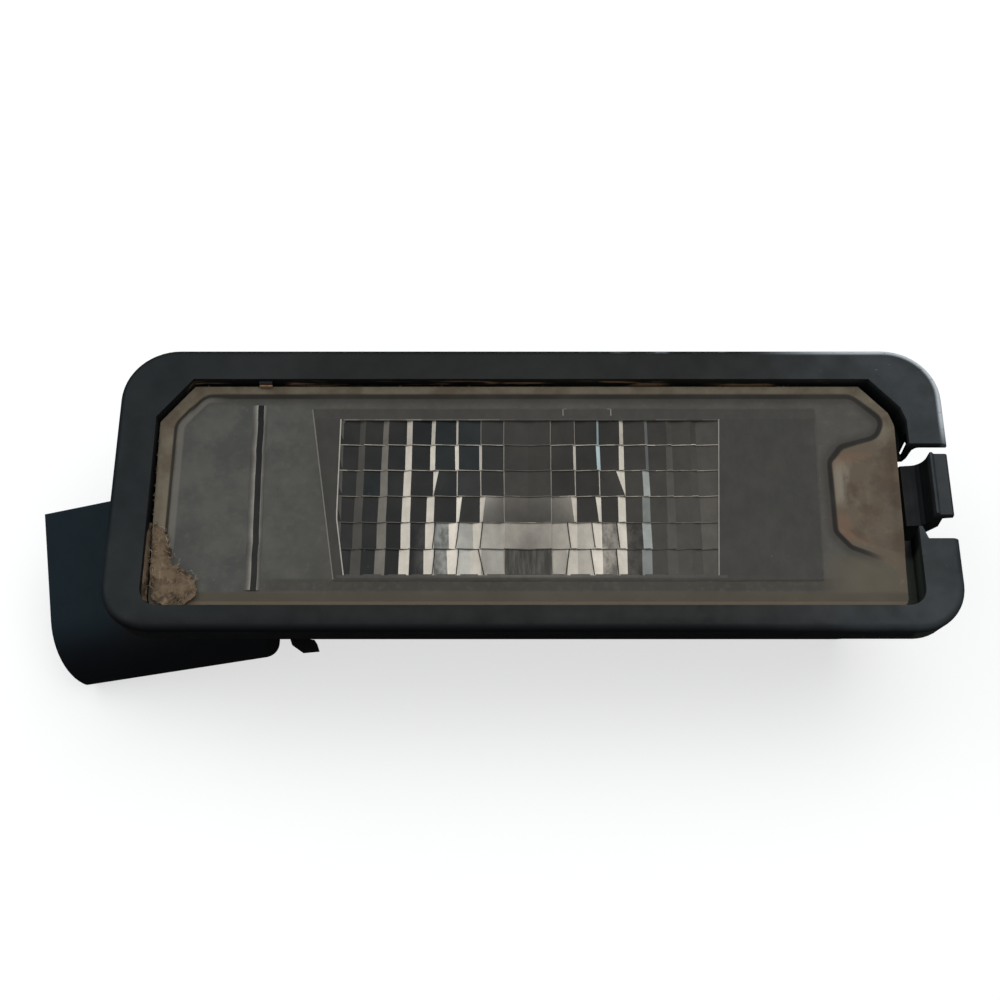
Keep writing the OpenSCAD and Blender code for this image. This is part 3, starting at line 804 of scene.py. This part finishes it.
def cell_tone(c, r):
    """Tone at a prism's lower left, lower right, upper right and upper left corner, with the painted light
    of the lamp's image in the lower rows near the middle.
    """
    d = abs(c + 0.5 - MIDDLE)
    base = cell_base(c, r)
    if r == ROWS - 1:
        near = 0.76 if c < MIDDLE else 0.65
        tones = {0.5: (0.29, 0.29), 1.5: (0.62, 0.65), 2.5: (near, near), 3.5: (0.53, 0.57)}
        outer, inner = tones.get(d, (base, 0.3 if d == 4.5 else base))
        outer_top, inner_top = outer, inner
    elif r == ROWS - 2:
        tones = {0.5: (0.56, 0.43), 1.5: (0.62, 0.57), 2.5: (0.68, 0.62), 3.5: (0.46, 0.56)}
        outer, inner = tones.get(d, (base, 0.26 if d == 4.5 else base))
        outer_top, inner_top = outer, max(inner, 0.54 if d < 1 else 0.0)
    elif r == ROWS - 3 and d < 2:
        outer, inner = (0.25, 0.23) if d < 1 else (0.36, 0.28)
        outer_top, inner_top = (0.36, 0.33) if d < 1 else (0.52, 0.38)
    else:
        outer = inner = outer_top = inner_top = base
    if c < MIDDLE:
        return outer, inner, inner_top, outer_top
    return inner, outer, outer_top, inner_top


def cell_kind(c, r):
    """Which finish a prism has: calm, streaked below the lamp or mottled beside its image."""
    d = abs(c + 0.5 - MIDDLE)
    if r == ROWS - 1 and d < 1:
        return 1
    return 2 if r >= ROWS - 2 and 3 < d < 5 else 0


def cell_tint(c, r):
    """How blue a prism looks: strongest left of the middle in the upper rows."""
    middle = 1.3 * bump_at(c, 4.2, 1.4) * bump_at(r, 0.5, 1.1)
    left = 1.2 * bump_at(c, 1.2, 1.2) * bump_at(r, 2, 0.7)
    return middle + left + 0.3 * smooth(8, 3, c)


def step_tone(c, r):
    """How light the thin step under row r looks."""
    d = abs(c + 0.5 - MIDDLE)
    if c < 6:
        return (0.66, 0.62, 0.5, 0.36, 0.24)[r]
    if d < 1.5:
        return (0.36, 0.36, 0.4, 0.5, 0.3)[r]
    return (0.7, 0.55, 0.62, 0.42, 0.3)[r]


def cell_z(side, u, v):
    """Level of a prism's face: it leans away from the middle and towards the top."""
    return FIELD_Z + FIELD_SLOPE * side * (u - 0.5) + FIELD_LEAN * (v - 0.5)


class Sheet:
    """Collects quads with a tone at each corner, a tint and a material index."""

    def __init__(self):
        self.verts, self.faces = [], []
        self.tones, self.tints, self.kinds = [], [], []

    def quad(self, a, b, c, d, tone, tint=0.0, kind=0):
        """One quad; its tone is a number, or one for each corner."""
        n = len(self.verts)
        self.verts += [a, b, c, d]
        self.faces.append((n, n + 1, n + 2, n + 3))
        self.tones += tone if isinstance(tone, tuple) else (tone,) * 4
        self.tints.append(tint)
        self.kinds.append(kind)

    def strip(self, a, b, below, above, tone):
        """Quad along the line from a to b, reaching below and above it."""
        corners = [(x, y - below, z) for x, y, z in (a, b)]
        corners += [(x, y + above, z) for x, y, z in (b, a)]
        self.quad(*corners, tone)

    def build(self, name, materials):
        obj = mesh(name, [raised(v) for v in self.verts], self.faces, materials[0])
        for m in materials[1:]:
            obj.data.materials.append(m)
        obj.data.polygons.foreach_set("material_index", self.kinds)
        store(obj, "tone", "POINT", self.tones)
        store(obj, "tint", "FACE", self.tints)
        return obj


def row_edges(r, rnd):
    """For each column line: the riser's left and right ends at the row's top and at its bottom."""
    v0, v1 = r / ROWS, (r + 1) / ROWS
    edges = []
    for k in range(COLUMNS + 1):
        top, bottom = field_x(k, v0), field_x(k, v1)
        if k in (0, COLUMNS):
            edges.append((top, top, bottom, bottom))
            continue
        wide_top, wide_bottom = riser_widths(k, r)
        sway = rnd.uniform(-0.05, 0.05)
        if k < MIDDLE and wide_top > 2 * wide_bottom:
            # Left of the middle a tapering riser keeps its left side upright
            high, low = top - 0.05, bottom - 0.05
            edges.append((high, high + wide_top, low, low + wide_bottom))
        else:
            right = 0.1 if wide_top > 0.2 else 0.05
            high, low = top + right, bottom + right + sway
            edges.append((high - wide_top, high, low - wide_bottom, low))
    return edges


def prism_rows(s, rnd):
    """Leaning faces, the steps below them and the risers between them."""
    for r in range(ROWS):
        top, bottom = FIELD_HALF_H - r * PITCH_Y, FIELD_HALF_H - (r + 1) * PITCH_Y
        edges = row_edges(r, rnd)
        for c in range(COLUMNS):
            cell(s, rnd, c, r, edges, top, bottom)
        for k in range(1, COLUMNS):
            if k != MIDDLE:
                riser(s, edges[k], k, r, top, bottom)
        if r < ROWS - 1:
            row_step(s, r, bottom)


def cell(s, rnd, c, r, edges, top, bottom):
    """One prism face and the small wall below it."""
    side = -1 if c < MIDDLE else 1
    x0t, x0b = edges[c][1], edges[c][3]
    x1t, x1b = edges[c + 1][0], edges[c + 1][2]
    in_middle = abs(c + 0.5 - MIDDLE) < 1
    shade = 1 if in_middle else rnd.uniform(0.93, 1.07)
    tint = cell_tint(c, r) * (0 if in_middle else rnd.uniform(0.7, 1.2))
    tone = tuple(v * shade for v in cell_tone(c, r))
    low_left = (x0b, bottom, cell_z(side, 0, 1))
    low_right = (x1b, bottom, cell_z(side, 1, 1))
    z0, z1 = cell_z(side, 0, 0), cell_z(side, 1, 0)
    s.quad(low_left, low_right, (x1t, top, z1), (x0t, top, z0), tone, tint, cell_kind(c, r))
    s.quad((x0b, bottom, z0), (x1b, bottom, z1), low_right, low_left, cell_base(c, r))


def row_step(s, r, y):
    """Fine painted highlight along the step under a row, a little wavy and uneven."""
    ahead, behind = 0.055, 0.025
    parts = 3
    v = (r + 1) / ROWS
    for i in range(COLUMNS * parts):
        c, u0 = divmod(i, parts)
        side = -1 if c < MIDDLE else 1
        ends = []
        for u in (u0 / parts, (u0 + 1) / parts):
            x = lerp(field_x(c, v), field_x(c + 1, v), u)
            wave = 0.03 * wobble(x * 0.9, r, 7)
            ends.append((x, y + wave, cell_z(side, u, 1) + 0.02))
        uneven = 0.85 + 0.4 * wobble(ends[0][0] * 0.8, r * 3, 2)
        s.strip(*ends, ahead, behind, step_tone(c, r) * uneven)


def riser(s, edge, k, r, top, bottom):
    """Face at a column line, painted bright with the lamp's light, with the thin dark slit beside it low in
    the middle.
    """
    lt, rt, lb, rb = edge
    left = -1 if k - 1 < MIDDLE else 1
    right = -1 if k < MIDDLE else 1
    tint = {13: 0.4}.get(k, 0.7 if k == 11 and r < 2 else 0.0)
    below = (lb, bottom, cell_z(left, 1, 1)), (rb, bottom, cell_z(right, 0, 1))
    above = (rt, top, cell_z(right, 0, 0)), (lt, top, cell_z(left, 1, 0))
    s.quad(*below, *above, riser_tone(k, r), tint)
    m = abs(k - MIDDLE)
    if r < ROWS - 2 or m < 2 or m > 4:
        return
    # The slit leans outward in the last but one row, and both ways in the last
    lean = 0.13 if k < MIDDLE else -0.1
    if r == ROWS - 1 and m == 2:
        lean *= -2.2
    half = 0.045
    xt, xb = (rt, rb) if k < MIDDLE else (lt, lb)
    xt, xb = xt + lean, xb - lean
    y0, y1, z = bottom + 0.03, top - 0.05, FIELD_Z + 0.2
    s.quad((xb - half, y0, z), (xb + half, y0, z), (xt + half, y1, z), (xt - half, y1, z), 0.07)


def prism_walls(s):
    """Walls of the field up to the pad, and painted highlights along the pad's fine edges there."""
    rim, low = PAD_Z, FIELD_Z - (FIELD_SLOPE + FIELD_LEAN) / 2
    n = 24
    for i in range(n):
        v0, v1 = i / n, (i + 1) / n
        xa, xb = lerp(-FIELD_HALF_W, FIELD_HALF_W, v0), lerp(-FIELD_HALF_W, FIELD_HALF_W, v1)
        y0, y1 = field_y(v0), field_y(v1)
        for k in (0, COLUMNS):
            x0, x1 = field_x(k, v0), field_x(k, v1)
            s.quad((x0, y0, low), (x1, y1, low), (x1, y1, rim), (x0, y0, rim), 0.5)
        for y in (FIELD_HALF_H, -FIELD_HALF_H):
            s.quad((xa, y, low), (xb, y, low), (xb, y, rim), (xa, y, rim), 0.28)
        # Painted highlight along the upper edge, clearest at the left
        uneven = 0.85 + 0.5 * wobble(xa * 0.9, 4, 4)
        tone = (0.42 if xa < -3 else 0.3) * uneven
        s.strip((xa, FIELD_HALF_H, rim), (xb, FIELD_HALF_H, rim), 0.13, 0, tone)
        # Soft shine below the field, strongest in the middle
        shine = 0.27 + 0.12 * bump_at((xa + xb) / 2, 0, 9)
        line = [(x, -FIELD_HALF_H, rim + 0.01) for x in (xa, xb)]
        s.strip(*line, 0.3, 0, (0.25, 0.25, shine, shine))


def prism_field(materials):
    s = Sheet()
    prism_rows(s, random.Random(SEED))
    prism_walls(s)
    piece(s.build("lens_prisms", materials))


def pad_ends(y):
    """Left and right end of the pad at a height."""
    t = (y - PAD_LOW) / (PAD_TOP - PAD_LOW)
    return lerp(-17.9, -20.55, t), lerp(26.2, 26.75, t)


def pad_lines(v):
    """Height at depth v down the field, and the pad's upright lines there, three on each side of it."""
    y = field_y(v)
    start, end = pad_ends(y)
    left, right = field_x(0, v), field_x(COLUMNS, v)
    return y, (start, left - PAD_BORDER, left, right, right + PAD_BORDER, end)


def pad_part(s, y0, ends0, y1, ends1, tone):
    """Part of the pad between two heights; ends are its left and right end there."""
    (a, b), (d, c) = ends0, ends1
    s.quad((a, y0, PAD_Z), (b, y0, PAD_Z), (c, y1, PAD_Z), (d, y1, PAD_Z), tone)


def pad_frame(materials):
    """Raised pad round the prisms, with painted highlights along its fine edges and a darker wedge at its
    left.
    """
    s = Sheet()
    z, foot = PAD_Z, BACK + 0.03
    n = 20
    for i in range(n):
        y0, lines0 = pad_lines(i / n)
        y1, lines1 = pad_lines((i + 1) / n)
        for j, tone in ((0, 0.21), (1, 0.62), (3, 0.5), (4, 0.213)):
            pad_part(s, y0, lines0[j:j + 2], y1, lines1[j:j + 2], tone)
    for y0, y1, tone in ((PAD_LOW, -FIELD_HALF_H, 0.22), (FIELD_HALF_H, PAD_TOP, 0.225)):
        pad_part(s, y0, pad_ends(y0), y1, pad_ends(y1), tone)
    # Sloped edges of the pad, with painted light brightest at the left: below, right, above and left
    tones = (0.26, 0.3, 0.3, 0.45)
    edge = 0.12
    corners = [(x, PAD_LOW) for x in pad_ends(PAD_LOW)]
    corners += [(x, PAD_TOP) for x in reversed(pad_ends(PAD_TOP))]
    for i in range(4):
        (xa, ya), (xb, yb) = corners[i], corners[(i + 1) % 4]
        out = Vector((yb - ya, xa - xb)).normalized() * edge
        below = [(x + out.x, y + out.y, foot) for x, y in ((xa, ya), (xb, yb))]
        s.quad(*below, (xb, yb, z), (xa, ya, z), tones[i])
    for x, side in ((3.0, 1), (7.6, -1)):
        bracket(s, x, side, FIELD_HALF_H + 0.35, z + 0.02)
    piece(s.build("lens_pad", materials))


def bracket(s, x, side, y, z):
    """Small light mark above the prisms, bent at its upper end."""
    thick, reach, tall = 0.09, 0.4, 0.75
    tip, end, top, arm = x + thick * side, x + reach * side, y + tall, z + 0.01
    s.strip((x, y, z), (tip, y, z), 0, tall, 0.5)
    s.strip((x, top, arm), (end, top, arm), thick, 0, 0.4)


def rib_wave(y):
    """Small sideways wander of the rib."""
    return 0.1 * wobble(3, y * 0.35, 3) + 0.03 * wobble(5, y * 1.4, 3)


def lens_rib(materials):
    """Rib across the left end: a dark line between two flanks with painted highlights."""
    s = Sheet()
    low, high = SEAL_BOTTOM + 0.35, SEAL_TOP - 0.9
    places = [-0.85, -0.65, -0.45, -0.29, 0.26, 0.36, 0.55]
    rises = [0.02, 0.08, 0.13, 0.12, 0.1, 0.07, 0.02]
    # Tone at each of those places, and of the dark line between the fourth and the fifth
    edges = [0.26, 0.31, 0.42, 0.5, 0.44, 0.33, 0.26]
    dark = 3
    dark_tone = 0.05
    n = 40
    for i in range(n):
        ya, yb = lerp(low, high, i / n), lerp(low, high, (i + 1) / n)
        xa, xb = (lerp(-25.05, -25.45, (y - low) / (high - low)) + rib_wave(y) for y in (ya, yb))
        bright = 1 + 0.25 * wobble(9, ya * 0.4, 1)
        depth = lerp(2.2, 0.4, (ya - low) / (high - low))
        for j in range(len(places) - 1):
            left, right = places[j], places[j + 1]
            z0, z1 = BACK + rises[j], BACK + rises[j + 1]
            t0, t1 = edges[j] * bright, edges[j + 1] * bright
            tone = dark_tone * depth if j == dark else (t0, t1, t1, t0)
            below = (xa + left, ya, z0), (xa + right, ya, z1)
            s.quad(*below, (xb + right, yb, z1), (xb + left, yb, z0), tone)
    piece(s.build("lens_rib", materials))


def lens():
    """The clear lens in its layers: front plate, dusty back, pad, prisms and rib."""
    plate = block("lens_plate", lens_outline(), BACK + 0.3, FRONT, lens_plate_look())
    bevel(plate, 0.12, 3)
    piece(plate)
    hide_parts("lens")
    lens_skin(lens_skin_look())
    calm = prism_look("prism_look")
    streaked = prism_look("prism_streak_look", "streaked")
    mottled = prism_look("prism_mottle_look", "mottled")
    frosted = prism_look("lens_pad_look", "calm", rgb(255, 247, 233))
    pad_frame([frosted])
    prism_field([calm, streaked, mottled])
    lens_rib([frosted])


def lump(bm, centre, size, rnd):
    """One irregular, somewhat flat crumb."""
    made = bmesh.ops.create_icosphere(bm, subdivisions=2, radius=1.0)
    shift = Vector((rnd.uniform(-9, 9), rnd.uniform(-9, 9), rnd.uniform(-9, 9)))
    turn = Matrix.Rotation(rnd.uniform(0, math.tau), 3, "Z")
    for v in made["verts"]:
        n = noise.noise(v.co * 1.4 + shift)
        v.co = turn @ Vector((v.co.x, v.co.y * 0.7, v.co.z * 0.8)) * size * (1 + 0.5 * n)
        v.co += Vector(centre)


def crumbs(name, places, material):
    """Many crumbs as one piece; places are (x, y, z, size)."""
    rnd = random.Random(SEED + len(places))
    bm = bmesh.new()
    for x, y, z, size in places:
        lump(bm, (x, y, z), size, rnd)
    bm.verts.index_update()
    verts = [v.co.copy() for v in bm.verts]
    faces = [[v.index for v in f.verts] for f in bm.faces]
    bm.free()
    piece(mesh(name, verts, faces, material, True))


def fibres(name, count, spot, material):
    """Short bent hairs; spot(rnd) gives a start and a direction in millimetres."""
    rnd = random.Random(SEED + count)
    verts, faces = [], []
    for i in range(count):
        start, way = spot(rnd)
        p = Vector(start)
        d = Vector(way).normalized()
        r = rnd.uniform(0.014, 0.028)
        rings = []
        for j in range(7):
            side = d.cross(Vector((0, 0, 1))).normalized()
            up = side.cross(d).normalized()
            rings.append(len(verts))
            for q in range(3):
                a = math.tau * q / 3
                verts.append(p + side * r * math.cos(a) + up * r * math.sin(a))
            p = p + d * rnd.uniform(0.05, 0.13)
            bend = Vector((rnd.uniform(-0.6, 0.6), rnd.uniform(-0.6, 0.6), rnd.uniform(-0.2, 0.2)))
            d = (d + bend).normalized()
            d.z *= 0.3
        for a, b in zip(rings, rings[1:]):
            for q in range(3):
                faces.append((a + q, a + (q + 1) % 3, b + (q + 1) % 3, b + q))
        faces.append((rings[0] + 2, rings[0] + 1, rings[0]))
        faces.append((rings[-1], rings[-1] + 1, rings[-1] + 2))
    piece(mesh(name, verts, faces, material, True))


# Outline of the felted dust in the lens's lower left corner
PILE = [
    (-34.1, -3.6), (-34.35, -6.5), (-34.1, -9.8), (-33.4, -11.3), (-30.9, -11.4),
    (-29.9, -10.3), (-29.8, -8.9), (-31.4, -8.1), (-32.6, -6.2), (-33.2, -4.0),
]


def felt_pile():
    """Mound of felted dust: a fine grid inside the outline, rough on top and ragged at its edge."""
    path = [Vector(p) for p in reversed(PILE)]
    step = 0.085
    xs, ys = zip(*PILE)
    nx, ny = int((max(xs) - min(xs) + 1) / step), int((max(ys) - min(ys) + 1) / step)
    verts, index, faces = [], {}, []
    for j in range(ny + 1):
        for i in range(nx + 1):
            x, y = min(xs) - 0.3 + i * step, min(ys) - 0.3 + j * step
            ragged = 0.5 * wobble(x, y, 2, 0.9) + 0.3 * wobble(x, y, 5, 3)
            d = signed_distance(Vector((x, y)), path) + ragged
            low_x = lens_low.x + 0.1 + 0.35 * clamp((4 - y) / 14)
            if d < 0 or x < low_x or y < lens_low.y + 0.05:
                continue
            rough = 0.15 * wobble(x, y, 9, 1.6) + 0.05 * wobble(x, y, 4, 5)
            height = 0.5 * smooth(0, 0.9, d) + rough * smooth(0, 0.4, d)
            index[i, j] = len(verts)
            verts.append((x, y, FRONT - 0.03 + max(height, 0.0)))
    for (i, j), a in index.items():
        ring = [index.get(key) for key in ((i + 1, j), (i + 1, j + 1), (i, j + 1))]
        if None not in ring:
            faces.append((a, *ring))
    used = sorted({v for f in faces for v in f})
    new = {v: n for n, v in enumerate(used)}
    faces = [tuple(new[v] for v in f) for f in faces]
    piece(mesh("dust_pile", [verts[v] for v in used], faces, felt_look("felt_look"), True))


def wall_dust():
    """Felted dust that fills the gap between the lens's left edge and the window's wall, but for a crack."""
    top, bottom = -3.2, -10.9
    rows, across = 90, 6
    crack = 0.12
    verts = []
    for j in range(rows + 1):
        y = lerp(bottom, top, j / rows)
        lens_x = span(lens_outline(), y)[0]
        ragged = 0.06 * wobble(y * 1.8, 1, 4) + 0.03 * wobble(y * 5, 1, 4)
        fade = smooth(top, top - 1.6, y)
        for i in range(across + 1):
            u = i / across
            x = lerp(lens_low.x - WALL_GAP - 0.02, lens_x - crack + ragged, u)
            lift = lerp(0.75, 0.05, u) * fade + 0.08 * wobble(x * 3, y * 2, 6)
            verts.append((x, y, FRONT - 0.5 + lift))
    piece(mesh("dust_wall", verts, grid_faces(across, rows), felt_look("wall_felt_look"), True))


def dirt():
    """Felted dust in the lens's lower left corner, and dirt in the gaps round the lens."""
    felt_pile()
    wall_dust()

    def in_pile(r):
        a, b, c = r.choice(PILE), r.choice(PILE), r.random()
        x = clamp(lerp(a[0], b[0], c), lens_low.x + 0.6, 0)
        y = max(lerp(a[1], b[1], c), lens_low.y + 0.6)
        return (x, y, FRONT + r.uniform(0.15, 0.45)), (r.uniform(-1, 1), r.uniform(-1, 1), 0)

    fibres("dust_fibres", 50, in_pile, dust_look("fibre_look", rgb(120, 104, 86), rgb(176, 160, 138)))
    rnd = random.Random(SEED)
    gap_y = lens_high.y + 0.1
    top_dirt = []
    x = lens_low.x + 4
    while x < lens_high.x - 4:
        if wobble(x * 0.16, 0, 0) > -0.12:
            size = rnd.uniform(0.08, 0.2)
            top_dirt.append((x, gap_y + rnd.uniform(-0.05, 0.08), FRONT - rnd.uniform(0.2, 0.6), size))
        x += rnd.uniform(0.2, 0.7)
    crumbs("dirt_top_gap", top_dirt, dust_look("gap_dirt_look", rgb(28, 21, 15), rgb(72, 57, 43)))
    left_dirt = []
    for i in range(34):
        y = rnd.uniform(-9, 8)
        x = lens_low.x + 0.02 + 0.012 * (8 - y)
        left_dirt.append((x, y, FRONT - rnd.uniform(0, 0.3), rnd.uniform(0.05, 0.13)))
    crumbs("dirt_left_gap", left_dirt, dust_look("side_dirt_look", rgb(40, 32, 24), rgb(110, 94, 74)))


def nib():
    """Light snap nib of the housing over the lens's upper edge."""
    x, y, z = -24.85, lens_high.y + 0.02, FRONT + 0.05
    w, d, h = 0.62, 0.26, 0.4
    outline = [(x - w, y - d), (x + w, y - d), (x + w * 0.9, y + d), (x - w * 0.9, y + d)]
    look = dust_look("nib_look", rgb(120, 88, 64), rgb(166, 130, 100))
    obj = block("snap_nib_tip", outline, z, z + h, look)
    bevel(obj, 0.08, 2)
    piece(obj)


def floor():
    """Pale floor: it shows white to the camera and keeps the object's soft shadow."""
    z = house_low.z
    size = 2500
    corners = [(-size, -size, z), (size, -size, z), (size, size, z), (-size, size, z)]
    mesh("floor", corners, [(0, 1, 2, 3)], floor_look())


def floor_look():
    """White and matt to the camera, dark to all other rays, so that it lights nothing from below."""
    m = Nodes(bpy.data.materials.new("floor_look"))
    seen = m.new("LightPath")
    shown = m.new("AddShader")
    m.link(m.new("Emission", Strength=0.62).outputs[0], shown.inputs[0])
    m.link(m.new("BsdfDiffuse", Color=(0.42, 0.42, 0.42, 1)).outputs[0], shown.inputs[1])
    dark = m.new("BsdfDiffuse", Color=(0.06, 0.06, 0.06, 1))
    direct = m.math("MAXIMUM", seen.outputs["Is Camera Ray"], seen.outputs["Is Transmission Ray"])
    m.choose(direct, dark, shown, "OutputMaterial")
    return m.owner


def world():
    """Even soft light from above, white where the camera looks past the floor."""
    w = bpy.data.worlds.new("studio")
    bpy.context.scene.world = w
    m = Nodes(w)
    rise = m.part(m.new("TexCoord").outputs["Generated"], "Z")
    strength = m.new("MapRange", Value=rise, To_Min=0.12, To_Max=0.8).outputs["Result"]
    sky = m.new("Background", Color=(0.96, 0.99, 1.0, 1), Strength=strength)
    m.choose(m.new("LightPath").outputs["Is Camera Ray"], sky, m.new("Background"), "OutputWorld")


def lamp(name, place, target, size, power, colour):
    """Square soft lamp, places in millimetres."""
    data = bpy.data.lights.new(name, "AREA")
    data.size = size * MM
    data.energy = power
    data.color = colour
    obj = put_in_scene(name, data)
    obj.location = Vector(place) * MM
    obj.rotation_mode = "QUATERNION"
    obj.rotation_quaternion = (Vector(target) - Vector(place)).to_track_quat("-Z", "Y")


def camera():
    """The photograph's view, from the front and above."""
    data = bpy.data.cameras.new("camera")
    data.sensor_width = FILM
    data.lens = FOCAL
    data.clip_start = 0.005
    obj = put_in_scene("camera", data)
    obj.location = Vector(CAMERA_PLACE) * MM
    obj.rotation_euler = (math.radians(90 - ELEVATION), 0, 0)
    bpy.context.scene.camera = obj


def stage():
    world()
    lamp("key", (160, 120, 520), (0, 0, 0), 420, 1.25, (1, 1, 1))
    lamp("fill", (-320, 160, 380), (0, 0, 0), 380, 0.6, (0.93, 0.97, 1))
    floor()
    camera()
    bpy.context.scene.view_settings.view_transform = "Standard"


stage()
dress_cad()
lens()
dirt()
nib()
